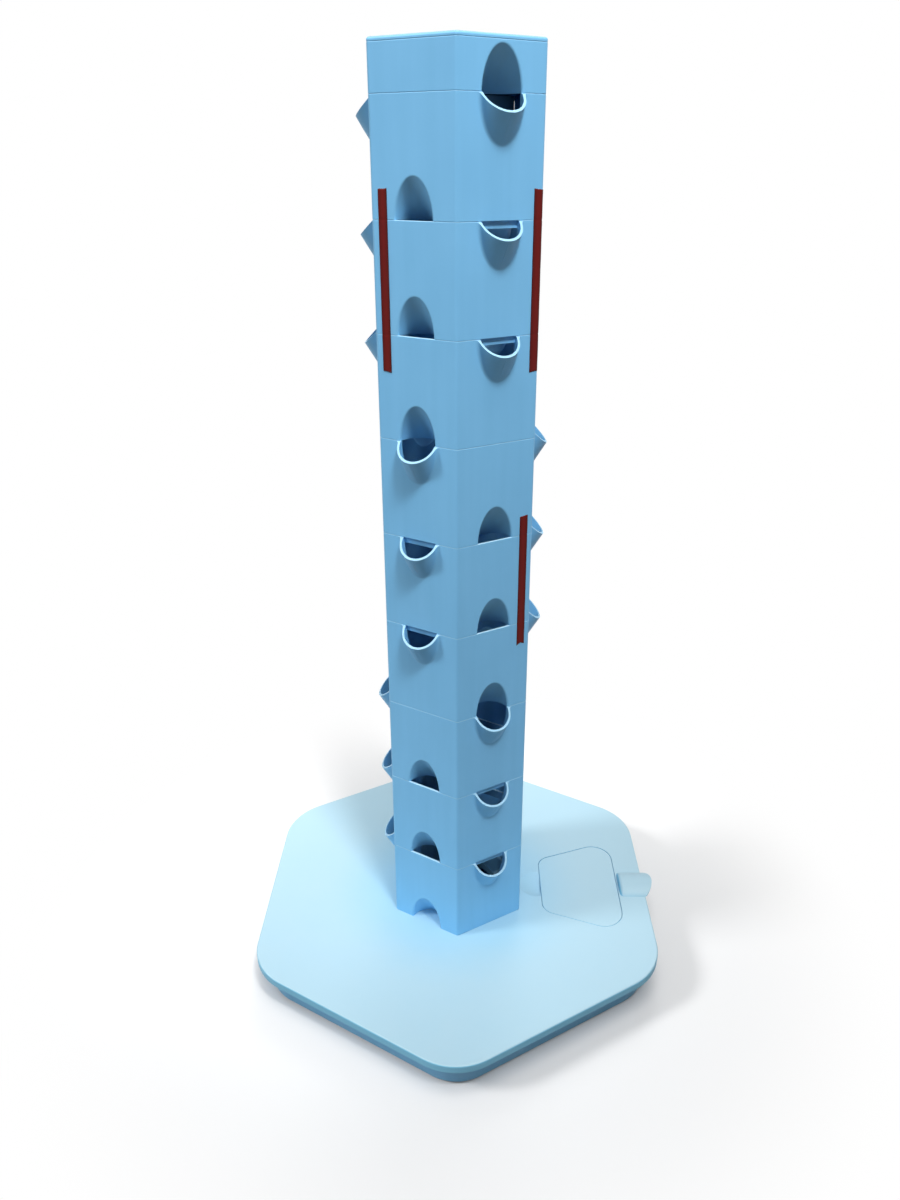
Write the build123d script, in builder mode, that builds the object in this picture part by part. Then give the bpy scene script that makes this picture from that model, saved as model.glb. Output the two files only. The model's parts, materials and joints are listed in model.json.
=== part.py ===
"""Hydroponic tower: hexagonal planting sections stacked on a shallow reservoir, with pump and riser.

Millimetres, +Z up. The origin is on the floor under the tower's axis. One corner of the tower and of
the base points to -Y, so the six faces look along 0, 60, 120, 180, 240 and 300 degrees from +X.
"""
import os
from math import cos, radians, sin, tan

from build123d import *

os.makedirs("parts", exist_ok=True)

# Tower sections
across_flats = 197.0        # one section, face to face
corner_radius = 5.0         # its upright edges, outside
inner_corner = 3.0          # and inside
wall = 3.0                  # moulded wall of sections, collar and cover
section_height = 130.0
section_count = 9
stack_section_count = 3     # sections that are put together unturned
seam_round = 0.8            # outer edges at the seams
collar_margin = 0.3         # between the collar's niches and the cover above them

# Planting pockets: a leaning round bore where a net pot sits
pot_radius = 25.0
pocket_lean = 32.0          # bore axis from upright, in degrees
rim_slope = 45.0            # slope of the cup's mouth, in degrees
rim_round = 1.3
cup_blend = 5.0             # cup running into the face
niche_round = 3.0           # edge of the recess above a cup

# Spigot under each section, which plugs into the one below
spigot_depth = 8.0
spigot_wall = 2.6
spigot_clearance = 0.4
spigot_ledge = 6.0          # height of the step that carries the spigot
niche_relief = 2.0          # the spigot stops this far from a pot bore

# Top cover
cover_rise = 5.0            # above the collar's edge, which it rests on
cover_seat = 3.0            # lip below it
cover_clearance = 0.6
cover_round = 3.0

# Tape strips across the seams of two stacks
tape_width = 12.0
tape_thickness = 0.4
tape_glue = 0.05            # layer between tape and wall
upper_tape_head = 34.0      # above the first seam that it crosses
upper_tape_foot = 46.0      # below the last one
upper_tape_notch = 0.5      # torn end
lower_tape_head = 28.0
lower_tape_foot = 34.0
lower_tape_notch = 4.0
left_tape_shift = -41.5     # sideways from the middle of its face
right_tape_shift = 51.0
lower_tape_shift = 43.5

# Base: lid and reservoir tray
base_across = 615.0
base_corner = 90.0
base_height = 62.0
lid_plate = 3.0
lid_rim = 12.0
lid_round = 2.5
lid_clearance = 0.6
lid_rib_height = 6.0
lid_rib_thickness = 3.0
return_margin = 1.5         # between the niches' backs and the opening where water runs back
socket_margin = 4.0         # pad round the tower's socket in the lid
tray_inset = 14.0           # tray's upper edge, in from the lid's edge
tray_draft = 8.0            # its foot, further in
tray_wall = 3.0
tray_round = 5.0
tray_flange = 4.0
foot_radius = 12.0
foot_height = 2.5
foot_setback = 46.5         # foot centres, in from the tray's corners

# Fill hatch, finger scoop and cord hood on the +X side of the lid
hatch_from_tower = 37.5     # its inner edge, from the tower's face
hatch_from_hood = 2.0       # its outer edge, from the hood
hatch_inner_width = 120.0
hatch_outer_width = 214.0
hatch_corner = 24.0         # its inner corners
hatch_outer_corner = 32.0
hatch_gap = 0.8
hatch_ledge = 6.0
hatch_lip = 4.0
scoop_radius = 28.0
scoop_shift = 6.0           # its middle, from the hatch towards the tower
scoop_depth = 7.0
hood_length = 54.5
hood_width = 56.0
hood_height = 12.0
hood_wall = 2.5
hood_round = 6.0            # its closed end
hood_overhang = 13.0        # past the lid's edge
cord_slot_length = 12.0
cord_slot_width = 24.0
cord_slot_corner = 4.0
cord_slot_margin = 2.5      # from the inside of the hood's closed end

# Pump on the tray's floor, its shaft along Y
suction_foot_radius = 8.0
suction_foot_taper = 20.0   # in degrees
suction_foot_inset = 4.0    # in from the motor block's ends
motor_width = 44.0
motor_height = 40.0
motor_length = 45.0
motor_round = 4.0
pump_wall = 3.0
shaft_radius = 1.5
shaft_clearance = 0.05
shaft_socket = 4.0
magnet_radius = 9.5
magnet_gap = 0.9
magnet_end_gap = 1.5
vane_radius = 14.5
vane_gap = 1.5
vane_end_gap = 2.5          # in front of the vanes, which start behind the strainer's edge
vane_thickness = 1.6
vane_count = 6
impeller_hub_radius = 5.0
intake_radius = 10.0
intake_spoke = 2.5
boss_wall = 1.5             # round the shaft's front end
outlet_wall = 2.0
outlet_margin = 2.0         # volute behind the outlet
outlet_spigot_height = 12.0
outlet_rise = 4.5           # shoulder above the volute
strainer_length = 28.0
strainer_wall = 2.2
strainer_clearance = 0.3
strainer_grip = 2.0         # on the volute, in front of the outlet
strainer_floor_gap = 1.5
strainer_slot = 3.0
strainer_slot_pitch = 6.0
strainer_slot_margin = 7.6  # from a slot's end to the bore
gland_radius = 6.0
gland_length = 10.0
gland_taper = 10.0          # in degrees
cord_radius = 3.0

# Riser and drip head
pipe_radius = 10.0
pipe_wall = 1.8
pipe_count = 3
pipe_clearance = 0.25
coupling_wall = 2.8
coupling_length = 44.0
coupling_stop = 2.0
riser_below_seam = 1.0      # riser's top end below the uppermost section's edge
drip_margin = 1.0           # between the dish and the niches' backs, which lift past it
drip_plate = 3.0
drip_rim = 16.0
drip_corner = 8.0
drip_round = 4.0            # the dish's lower edge
drip_hub_wall = 3.5
drip_hub_depth = 16.0
drip_hole_radius = 2.0
drip_hole_count = 12
drip_hole_inset = 12.0
drip_window = 6.0
spray_cap_overhang = 4.0
spray_cap_height = 4.0
spray_cap_round = 2.0

# Worked out from the sizes above
half_flats = across_flats / 2
inner_flats = across_flats - 2 * wall
spigot_flats = inner_flats - 2 * spigot_clearance
spigot_inner_flats = spigot_flats - 2 * spigot_wall
cup_radius = pot_radius + wall
lean = radians(pocket_lean)
slope = radians(rim_slope)
pocket_reach = 2 * cup_radius / sin(lean)
pocket_span = 3 * pocket_reach      # wider than any pocket
niche_back = half_flats - cup_radius / cos(lean)
cover_flats = inner_flats - 2 * cover_clearance
collar_height = (cover_flats / 2 - niche_back) / tan(lean) + collar_margin + cover_seat
tower_top = base_height + section_count * section_height
collar_top = tower_top + collar_height
foot_turn = 60 * ((section_count - 1) // stack_section_count % 2)
lid_underside = base_height - lid_plate
tray_floor = foot_height + tray_wall
tray_top_flats = base_across - 2 * tray_inset
tray_foot_flats = tray_top_flats - 2 * tray_draft
tray_top_corner = base_corner - tray_inset
tray_foot_corner = tray_top_corner - tray_draft
tray_inner_slope = tray_draft / (lid_underside - tray_floor)
lid_edge = base_across / 2
hood_start = lid_edge + hood_overhang - hood_length
hatch_start = half_flats + hatch_from_tower
hatch_end = hood_start - hatch_from_hood


def hexagon(across, corner, height):
    """Rounded hexagon, a flat towards +X, on a level plane."""
    with BuildSketch(Plane.XY.offset(height), mode=Mode.PRIVATE) as outline:
        RegularPolygon(across / 2, 6, major_radius=False, rotation=30)
        fillet(outline.vertices(), corner)
    return outline.sketch


def keystone(margin, height):
    """Hatch outline, grown by a margin, on a level plane."""
    with BuildSketch(Plane.XY.offset(height), mode=Mode.PRIVATE) as outline:
        with BuildLine():
            Polyline(
                (hatch_start, -hatch_inner_width / 2),
                (hatch_end, -hatch_outer_width / 2),
                (hatch_end, hatch_outer_width / 2),
                (hatch_start, hatch_inner_width / 2),
                close=True,
            )
        make_face()
        fillet(outline.vertices().group_by(Axis.X)[0], hatch_corner)
        fillet(outline.vertices().group_by(Axis.X)[-1], hatch_outer_corner)
        offset(amount=margin)
    return outline.sketch


def arch(start, half_width, height):
    """Arch standing on the lid, on a plane square to X."""
    with BuildSketch(Plane.YZ.offset(start), mode=Mode.PRIVATE) as outline:
        with BuildLine():
            ThreePointArc(
                (-half_width, base_height),
                (0, base_height + height),
                (half_width, base_height),
            )
            Line((half_width, base_height), (-half_width, base_height))
        make_face()
    return outline.sketch


def save(piece, name):
    """Label a finished piece and write it as one file."""
    piece.label = name
    export_step(piece, f"parts/{name}.step")


# Planes of a pocket on the +X face, with the seam at height zero
pocket_plane = Plane(origin=(half_flats, 0, 0), x_dir=(0, 1, 0), z_dir=(sin(lean), 0, cos(lean)))
face_plane = Plane(origin=(half_flats, 0, 0), x_dir=(0, 1, 0), z_dir=(1, 0, 0))
rim_plane = Plane(origin=(half_flats, 0, 0), x_dir=(0, 1, 0), z_dir=(sin(slope), 0, cos(slope)))


def mouth(shape):
    """The closed edge where a pocket's cylinder meets the face plane."""
    return shape.edges().filter_by(GeomType.ELLIPSE).filter_by_position(
        Axis.X, half_flats, half_flats
    )


# Cup: the leaning tube below the seam, with a rounded mouth
with BuildPart() as cup_tube:
    with BuildSketch(pocket_plane.offset(-pocket_reach)):
        Circle(cup_radius)
        Circle(pot_radius, mode=Mode.SUBTRACT)
    extrude(amount=2 * pocket_reach)
    split(bisect_by=rim_plane, keep=Keep.BOTTOM)
    rim = cup_tube.faces().sort_by(Axis((0, 0, 0), tuple(rim_plane.z_dir)))[-1]
    fillet(rim.edges(), rim_round)
    split(bisect_by=face_plane.offset(-wall / 2), keep=Keep.TOP)
    split(bisect_by=Plane.XY.offset(-seam_round), keep=Keep.BOTTOM)

# Skirt: the soft corner where the cup runs into the face
with BuildPart() as cup_skirt:
    with BuildSketch(face_plane.offset(-wall / 2)):
        Rectangle(pocket_span, pocket_span)
    extrude(amount=wall / 2)
    with BuildSketch(pocket_plane.offset(-pocket_reach)):
        Circle(cup_radius)
    extrude(amount=2 * pocket_reach)
    split(bisect_by=face_plane.offset(-wall / 2), keep=Keep.TOP)
    fillet(mouth(cup_skirt), cup_blend)
    split(bisect_by=rim_plane, keep=Keep.BOTTOM)
    split(bisect_by=Plane.XY.offset(-seam_round), keep=Keep.BOTTOM)
    with BuildSketch(face_plane.offset(-wall)):
        Rectangle(2 * (cup_radius + 3 * cup_blend), 2 * pocket_reach)
    extrude(amount=2 * pocket_reach, mode=Mode.INTERSECT)

# Niche: the bore carried on above the seam, as a shell inside the section above
with BuildPart() as niche_shell:
    with BuildSketch(pocket_plane.offset(-pocket_reach)):
        Circle(cup_radius)
    extrude(amount=2 * pocket_reach)
    split(bisect_by=Plane.XY, keep=Keep.TOP)
    split(bisect_by=face_plane.offset(-wall / 2), keep=Keep.BOTTOM)

# Space the niche takes out of the face, with its rounded mouth
with BuildPart() as niche_space:
    with BuildSketch(face_plane):
        Rectangle(pocket_span, pocket_span)
    extrude(amount=wall)
    with BuildSketch(pocket_plane.offset(-pocket_reach)):
        Circle(pot_radius)
    extrude(amount=2 * pocket_reach)
    split(bisect_by=face_plane.offset(wall), keep=Keep.BOTTOM)
    fillet(mouth(niche_space), niche_round)
    with BuildSketch(face_plane.offset(-pocket_reach)):
        Rectangle(2 * (pot_radius + 3 * niche_round), 2 * pocket_reach)
    extrude(amount=2 * pocket_reach, mode=Mode.INTERSECT)

# Space of the pot bore itself, from the cup's mouth to inside the wall
with BuildPart() as pot_bore:
    with BuildSketch(pocket_plane.offset(-pocket_reach / 2)):
        Circle(pot_radius)
    extrude(amount=pocket_reach)

# Spigot: an inset hexagonal skirt, left out below the niches
with BuildPart() as spigot:
    extrude(hexagon(spigot_flats, inner_corner, 0), amount=-spigot_depth)
    extrude(hexagon(spigot_inner_flats, inner_corner, 0), amount=-spigot_depth, mode=Mode.SUBTRACT)
    with PolarLocations(half_flats, 3):
        Box(
            2 * pot_radius,
            2 * (pot_radius + niche_relief),
            3 * spigot_depth,
            mode=Mode.SUBTRACT,
        )


def hollow_prism(height):
    """Hexagonal wall with eased seams, and the inner step that carries the spigot."""
    with BuildPart() as prism:
        extrude(hexagon(across_flats, corner_radius, 0), amount=height)
        fillet(prism.faces().filter_by(Axis.Z).edges(), seam_round)
        extrude(hexagon(inner_flats, inner_corner, 0), amount=height, mode=Mode.SUBTRACT)
        extrude(hexagon(inner_flats + wall, inner_corner + wall / 2, 0), amount=spigot_ledge)
        extrude(
            hexagon(spigot_inner_flats, inner_corner, 0),
            amount=spigot_ledge,
            mode=Mode.SUBTRACT,
        )
    return prism.part


# One planting section: niches at the foot of three faces, cups at the head of the other three
with BuildPart() as section:
    add(hollow_prism(section_height))
    add(spigot.part)
    with PolarLocations(0, 3):
        add(niche_shell.part)
        add(niche_space.part, mode=Mode.SUBTRACT)
    with PolarLocations(0, 3, start_angle=60):
        with Locations((0, 0, section_height)):
            add(cup_skirt.part)
            add(cup_tube.part)
            add(pot_bore.part, mode=Mode.SUBTRACT)

# Sections are numbered from the top, and every other stack is turned by one face
for number in range(1, section_count + 1):
    level = base_height + (section_count - number) * section_height
    turn = 60 * ((number - 1) // stack_section_count % 2)
    with BuildPart() as tower_section:
        with Locations(Location((0, 0, level), (0, 0, turn))):
            add(section.part)
    save(tower_section.part, f"tower_section_{number}")

# Top collar, turned so that its niches stand over the uppermost cups
with BuildPart() as top_collar:
    with Locations(Location((0, 0, tower_top), (0, 0, 60))):
        add(hollow_prism(collar_height))
        add(spigot.part)
    with PolarLocations(0, 3, start_angle=60):
        with Locations((0, 0, tower_top)):
            add(niche_shell.part)
            add(niche_space.part, mode=Mode.SUBTRACT)
    split(bisect_by=Plane.XY.offset(collar_top), keep=Keep.BOTTOM)
save(top_collar.part, "top_collar")

# Top cover: a shallow cap, flush with the collar's faces, with a lip that plugs into it
with BuildPart() as top_cover:
    cover_foot = collar_top - cover_seat
    extrude(hexagon(across_flats, corner_radius, collar_top), amount=cover_rise)
    fillet(top_cover.faces().sort_by(Axis.Z)[-1].edges(), cover_round)
    fillet(top_cover.faces().sort_by(Axis.Z)[0].edges(), seam_round)
    extrude(hexagon(cover_flats, inner_corner, cover_foot), amount=cover_seat)
    extrude(
        hexagon(cover_flats - 2 * wall, inner_corner, cover_foot),
        amount=cover_seat + cover_rise - wall,
        mode=Mode.SUBTRACT,
    )
save(top_cover.part, "top_cover")


def tape_strip(name, face_angle, shift, foot, head, notch):
    """A strip of tape laid on one face, following the wall, with a torn lower end."""
    normal = Vector(cos(radians(face_angle)), sin(radians(face_angle)), 0)
    along = Vector(-sin(radians(face_angle)), cos(radians(face_angle)), 0)
    left = shift - tape_width / 2
    right = shift + tape_width / 2
    inner = across_flats + 2 * tape_glue
    with BuildPart() as tape:
        extrude(
            hexagon(inner + 2 * tape_thickness, corner_radius + tape_glue + tape_thickness, foot),
            amount=head - foot,
        )
        extrude(
            hexagon(inner, corner_radius + tape_glue, foot),
            amount=head - foot,
            mode=Mode.SUBTRACT,
        )
        with BuildSketch(Plane(origin=(0, 0, 0), x_dir=along, z_dir=normal)):
            with BuildLine():
                Polyline(
                    (left, head),
                    (left, foot),
                    (shift, foot + notch),
                    (right, foot),
                    (right, head),
                    close=True,
                )
            make_face()
        extrude(amount=across_flats, mode=Mode.INTERSECT)
    save(tape.part, name)


upper_seam = tower_top - section_height
middle_seam = upper_seam - stack_section_count * section_height
seam_span = (stack_section_count - 2) * section_height
upper_foot = upper_seam - seam_span - upper_tape_foot
upper_head = upper_seam + upper_tape_head
lower_foot = middle_seam - seam_span - lower_tape_foot
lower_head = middle_seam + lower_tape_head
tape_strip("tape_strip_left", 240, left_tape_shift, upper_foot, upper_head, upper_tape_notch)
tape_strip("tape_strip_right", 300, right_tape_shift, upper_foot, upper_head, upper_tape_notch)
tape_strip("tape_strip_lower", 300, lower_tape_shift, lower_foot, lower_head, lower_tape_notch)

# Reservoir tray with sloping sides and a stiff upper edge
with BuildPart() as reservoir_tray:
    loft(
        [
            hexagon(tray_foot_flats, tray_foot_corner, foot_height),
            hexagon(tray_top_flats, tray_top_corner, lid_underside),
        ],
        ruled=True,
    )
    fillet(reservoir_tray.faces().sort_by(Axis.Z)[0].edges(), tray_round)
    extrude(
        hexagon(
            tray_top_flats + 2 * tray_flange,
            tray_top_corner + tray_flange,
            lid_underside - tray_wall,
        ),
        amount=tray_wall,
    )
    loft(
        [
            hexagon(tray_foot_flats - 2 * tray_wall, tray_foot_corner - tray_wall, tray_floor),
            hexagon(tray_top_flats - 2 * tray_wall, tray_top_corner - tray_wall, lid_underside),
        ],
        ruled=True,
        mode=Mode.SUBTRACT,
    )
save(reservoir_tray.part, "reservoir_tray")

# Rubber feet under the tray's corners, and one in the middle under the tower's weight
with BuildPart() as rubber_feet:
    corner_centre = (tray_foot_flats / 2 - tray_foot_corner) / cos(radians(30))
    foot_ring = corner_centre + tray_foot_corner - foot_setback
    with BuildSketch():
        with PolarLocations(foot_ring, 6, start_angle=30):
            Circle(foot_radius)
        Circle(foot_radius)
    extrude(amount=foot_height)
save(rubber_feet.part, "rubber_feet")

# Bowl under the finger scoop
scoop_sphere = (scoop_radius**2 + scoop_depth**2) / (2 * scoop_depth)
scoop_centre = (hatch_start - scoop_shift, 0, base_height - scoop_depth + scoop_sphere)
with BuildPart() as scoop_bowl:
    with Locations(scoop_centre):
        Sphere(scoop_sphere + lid_plate)
    split(bisect_by=Plane.XY.offset(base_height - lid_plate / 2), keep=Keep.BOTTOM)
    split(bisect_by=Plane.YZ.offset(hatch_start + hatch_ledge), keep=Keep.BOTTOM)

# Socket in the lid for the lowest section's spigot, closed below its niches
socket_depth = spigot_depth + spigot_clearance
with BuildPart() as tower_socket:
    extrude(hexagon(inner_flats, inner_corner, base_height), amount=-socket_depth)
    extrude(
        hexagon(spigot_inner_flats - 2 * spigot_clearance, inner_corner, base_height),
        amount=-socket_depth,
        mode=Mode.SUBTRACT,
    )
    with PolarLocations(half_flats, 3, start_angle=foot_turn):
        with Locations((0, 0, base_height)):
            Box(
                2 * pot_radius,
                2 * (pot_radius + niche_relief - spigot_clearance),
                3 * spigot_depth,
                mode=Mode.SUBTRACT,
            )

# Base lid: a rimmed plate with the tower's socket, hatch frame, scoop and cord slot
with BuildPart() as base_lid:
    lid_foot = base_height - lid_rim
    extrude(hexagon(base_across, base_corner, lid_foot), amount=lid_rim)
    fillet(base_lid.faces().sort_by(Axis.Z)[-1].edges(), lid_round)
    extrude(
        hexagon(base_across - 2 * lid_plate, base_corner - lid_plate, lid_foot),
        amount=lid_rim - lid_plate,
        mode=Mode.SUBTRACT,
    )
    # Rib that keeps the lid in place inside the tray's edge
    rib_inset = tray_wall + lid_clearance + tray_inner_slope * lid_rib_height
    rib_flats = tray_top_flats - 2 * rib_inset
    rib_corner = tray_top_corner - tray_wall - lid_clearance
    locating_rib = hexagon(rib_flats, rib_corner, lid_underside) - hexagon(
        rib_flats - 2 * lid_rib_thickness, rib_corner - lid_rib_thickness, lid_underside
    )
    extrude(locating_rib, amount=-lid_rib_height)
    # Pad round the socket, and ribs from it to the corners
    pad_flats = across_flats + 2 * socket_margin
    extrude(hexagon(pad_flats, corner_radius, lid_underside), amount=-socket_depth)
    rib_length = (rib_flats - pad_flats) / 2
    with PolarLocations(pad_flats / 2 + rib_length / 2, 6, start_angle=30):
        with Locations((0, 0, lid_underside)):
            Box(
                rib_length,
                lid_rib_thickness,
                lid_rib_height,
                align=(Align.CENTER, Align.CENTER, Align.MAX),
            )
    with BuildSketch(Plane.XY.offset(base_height)):
        Circle(niche_back - return_margin)
    extrude(amount=-base_height, mode=Mode.SUBTRACT)
    add(tower_socket.part, mode=Mode.SUBTRACT)
    # Hatch frame and its opening, then the scoop beside it
    extrude(keystone(lid_plate, lid_underside), amount=-lid_plate)
    extrude(keystone(-hatch_ledge, base_height), amount=-2 * lid_rim, mode=Mode.SUBTRACT)
    add(scoop_bowl.part)
    extrude(keystone(0, base_height), amount=-lid_plate, mode=Mode.SUBTRACT)
    with Locations(scoop_centre):
        Sphere(scoop_sphere, mode=Mode.SUBTRACT)
    # Slot under the hood for the pump's cord, down through the locating rib
    slot_middle = hood_start + hood_wall + cord_slot_margin + cord_slot_length / 2
    with BuildSketch(Plane.XY.offset(base_height)):
        with Locations((slot_middle, 0)):
            RectangleRounded(cord_slot_length, cord_slot_width, cord_slot_corner)
    extrude(amount=-lid_plate - lid_rib_height, mode=Mode.SUBTRACT)
save(base_lid.part, "base_lid")

# Fill hatch: flush plate with a lip that drops into the frame
with BuildPart() as fill_hatch:
    extrude(keystone(-hatch_gap, lid_underside), amount=lid_plate)
    fillet(fill_hatch.faces().sort_by(Axis.Z)[-1].edges(), seam_round)
    lip_margin = -hatch_ledge - hatch_gap
    lip = keystone(lip_margin, lid_underside) - keystone(lip_margin - lid_plate, lid_underside)
    extrude(lip, amount=-hatch_lip)
save(fill_hatch.part, "fill_hatch")

# Cord hood: a low arch on the lid, open past the lid's edge, with a rounded nose
with BuildPart() as cord_hood:
    extrude(arch(hood_start, hood_width / 2, hood_height), amount=hood_length)
    hood_end = cord_hood.faces().sort_by(Axis.X)[0]
    fillet(hood_end.edges().filter_by(GeomType.CIRCLE), hood_round)
    extrude(
        arch(hood_start + hood_wall, hood_width / 2 - hood_wall, hood_height - hood_wall),
        amount=hood_length,
        mode=Mode.SUBTRACT,
    )
    with BuildSketch(Plane.XY.offset(base_height)):
        with BuildLine():
            Polyline(
                (lid_edge, -hood_width / 2),
                (hood_start, -hood_width / 2),
                (hood_start, hood_width / 2),
                (lid_edge, hood_width / 2),
            )
            ThreePointArc(
                (lid_edge, hood_width / 2),
                (lid_edge + hood_overhang, 0),
                (lid_edge, -hood_width / 2),
            )
        make_face()
    extrude(amount=hood_height, mode=Mode.INTERSECT)
save(cord_hood.part, "cord_hood")

# Pump housing: round volute under the riser, motor block behind it
chamber_radius = vane_radius + vane_gap
volute_radius = chamber_radius + pump_wall
motor_bore_radius = magnet_radius + magnet_gap
suction_foot_height = strainer_wall + strainer_clearance + strainer_floor_gap
pump_floor = tray_floor + suction_foot_height
shaft_height = pump_floor + volute_radius
strainer_back = -pipe_radius - strainer_clearance
volute_front = strainer_back - strainer_grip
volute_back = pipe_radius + outlet_margin
volute_length = volute_back - volute_front
motor_back = volute_back + motor_length
motor_bore_end = motor_back - pump_wall - shaft_socket
outlet_shoulder = shaft_height + volute_radius + outlet_rise
pipe_bore_radius = pipe_radius - pipe_wall
outlet_spigot_radius = pipe_bore_radius - pipe_clearance
shaft_line = Plane(origin=(0, 0, shaft_height), x_dir=(1, 0, 0), z_dir=(0, 1, 0))
with BuildPart() as pump_housing:
    with BuildSketch(shaft_line.offset(volute_front)):
        Circle(volute_radius)
    extrude(amount=volute_length)
    with BuildSketch(shaft_line.offset(volute_back)):
        with Locations((0, volute_radius - motor_height / 2)):
            RectangleRounded(motor_width, motor_height, motor_round)
    extrude(amount=motor_length)
    with BuildSketch(Plane.XY.offset(shaft_height)):
        Circle(pipe_radius)
    extrude(amount=outlet_shoulder - shaft_height)
    with BuildSketch(Plane.XY.offset(outlet_shoulder)):
        Circle(outlet_spigot_radius)
    extrude(amount=outlet_spigot_height)
    with BuildSketch(shaft_line.offset(volute_front)):
        Circle(chamber_radius)
    extrude(amount=volute_length - pump_wall, mode=Mode.SUBTRACT)
    with BuildSketch(shaft_line.offset(volute_front)):
        Circle(motor_bore_radius)
    extrude(amount=motor_bore_end - volute_front, mode=Mode.SUBTRACT)
    with BuildSketch(shaft_line.offset(motor_bore_end)):
        Circle(shaft_radius + shaft_clearance)
    extrude(amount=shaft_socket, mode=Mode.SUBTRACT)
    with BuildSketch(Plane.XY.offset(shaft_height)):
        Circle(outlet_spigot_radius - outlet_wall)
    extrude(amount=outlet_shoulder + outlet_spigot_height, mode=Mode.SUBTRACT)
save(pump_housing.part, "pump_housing")

# Pump cover: closes the volute, holds the shaft's front end on three spokes
with BuildPart() as pump_cover:
    boss_radius = shaft_radius + shaft_clearance + boss_wall
    with BuildSketch(shaft_line.offset(volute_front)):
        Circle(volute_radius)
        Circle(intake_radius, mode=Mode.SUBTRACT)
        Circle(boss_radius)
        with PolarLocations((intake_radius + boss_radius) / 2, 3, start_angle=90):
            Rectangle(intake_radius, intake_spoke)
        Circle(shaft_radius + shaft_clearance, mode=Mode.SUBTRACT)
    extrude(amount=-pump_wall)
save(pump_cover.part, "pump_cover")

# Shaft from the cover's boss to the socket in the motor block
with BuildPart() as pump_shaft:
    shaft_front = volute_front - pump_wall
    with BuildSketch(shaft_line.offset(shaft_front)):
        Circle(shaft_radius)
    extrude(amount=motor_bore_end + shaft_socket - shaft_front)
save(pump_shaft.part, "pump_shaft")

# Impeller: vanes in the volute and a magnet sleeve in the motor bore, in one piece
with BuildPart() as pump_impeller:
    vane_front = volute_front + vane_end_gap
    magnet_front = volute_back - pump_wall
    magnet_back = motor_bore_end - magnet_end_gap
    with BuildSketch(shaft_line.offset(vane_front)):
        Circle(impeller_hub_radius)
        with PolarLocations(vane_radius / 2, vane_count):
            Rectangle(vane_radius, vane_thickness)
    extrude(amount=magnet_front - magnet_end_gap - vane_front)
    with BuildSketch(shaft_line.offset(vane_front)):
        Circle(impeller_hub_radius)
    extrude(amount=magnet_back - vane_front)
    with BuildSketch(shaft_line.offset(magnet_front)):
        Circle(magnet_radius)
    extrude(amount=magnet_back - magnet_front)
    with BuildSketch(shaft_line.offset(vane_front)):
        Circle(shaft_radius + shaft_clearance)
    extrude(amount=magnet_back - vane_front, mode=Mode.SUBTRACT)
save(pump_impeller.part, "pump_impeller")

# Intake strainer: a slotted cap that pushes onto the volute
with BuildPart() as intake_strainer:
    strainer_bore = volute_radius + strainer_clearance
    strainer_front = strainer_back - strainer_length
    slot_count = int(2 * strainer_bore / strainer_slot_pitch) - 1
    with BuildSketch(shaft_line.offset(strainer_front)):
        Circle(strainer_bore + strainer_wall)
    extrude(amount=strainer_length)
    with BuildSketch(shaft_line.offset(strainer_front + strainer_wall)):
        Circle(strainer_bore)
    extrude(amount=strainer_length, mode=Mode.SUBTRACT)
    with BuildSketch(shaft_line.offset(strainer_front)):
        with GridLocations(strainer_slot_pitch, 0, slot_count, 1):
            SlotOverall(2 * (strainer_bore - strainer_slot_margin), strainer_slot, rotation=90)
    extrude(amount=strainer_wall, mode=Mode.SUBTRACT)
save(intake_strainer.part, "intake_strainer")

# Suction feet between the motor block and the tray's floor
with BuildPart() as suction_feet:
    foot_spread = motor_width - 2 * suction_foot_radius
    foot_row = motor_length - 2 * (suction_foot_radius + suction_foot_inset)
    with BuildSketch(Plane.XY.offset(tray_floor)):
        with Locations((0, volute_back + motor_length / 2)):
            with GridLocations(foot_spread, foot_row, 2, 2):
                Circle(suction_foot_radius)
    extrude(amount=suction_foot_height, taper=suction_foot_taper)
save(suction_feet.part, "suction_feet")

# Gland where the pump's cord leaves the motor block
with BuildPart() as cable_gland:
    with BuildSketch(shaft_line.offset(motor_back)):
        Circle(gland_radius)
        Circle(cord_radius, mode=Mode.SUBTRACT)
    extrude(amount=gland_length, taper=gland_taper)
save(cable_gland.part, "cable_gland")

# Riser: equal lengths of pipe joined by sleeves with an inner stop
riser_top = tower_top - riser_below_seam
pipe_length = (riser_top - outlet_shoulder - (pipe_count - 1) * coupling_stop) / pipe_count
for number in range(1, pipe_count + 1):
    pipe_foot = outlet_shoulder + (number - 1) * (pipe_length + coupling_stop)
    with BuildPart() as riser_pipe:
        with BuildSketch(Plane.XY.offset(pipe_foot)):
            Circle(pipe_radius)
            Circle(pipe_bore_radius, mode=Mode.SUBTRACT)
        extrude(amount=pipe_length)
    save(riser_pipe.part, f"riser_pipe_{number}")

for number in range(1, pipe_count):
    stop_foot = outlet_shoulder + number * pipe_length + (number - 1) * coupling_stop
    coupling_foot = stop_foot - (coupling_length - coupling_stop) / 2
    with BuildPart() as riser_coupling:
        with BuildSketch(Plane.XY.offset(coupling_foot)):
            Circle(pipe_radius + pipe_clearance + coupling_wall)
            Circle(pipe_radius + pipe_clearance, mode=Mode.SUBTRACT)
        extrude(amount=coupling_length)
        with BuildSketch(Plane.XY.offset(stop_foot)):
            Circle(pipe_radius + coupling_wall)
            Circle(pipe_bore_radius, mode=Mode.SUBTRACT)
        extrude(amount=coupling_stop)
    save(riser_coupling.part, f"riser_coupling_{number}")

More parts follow.
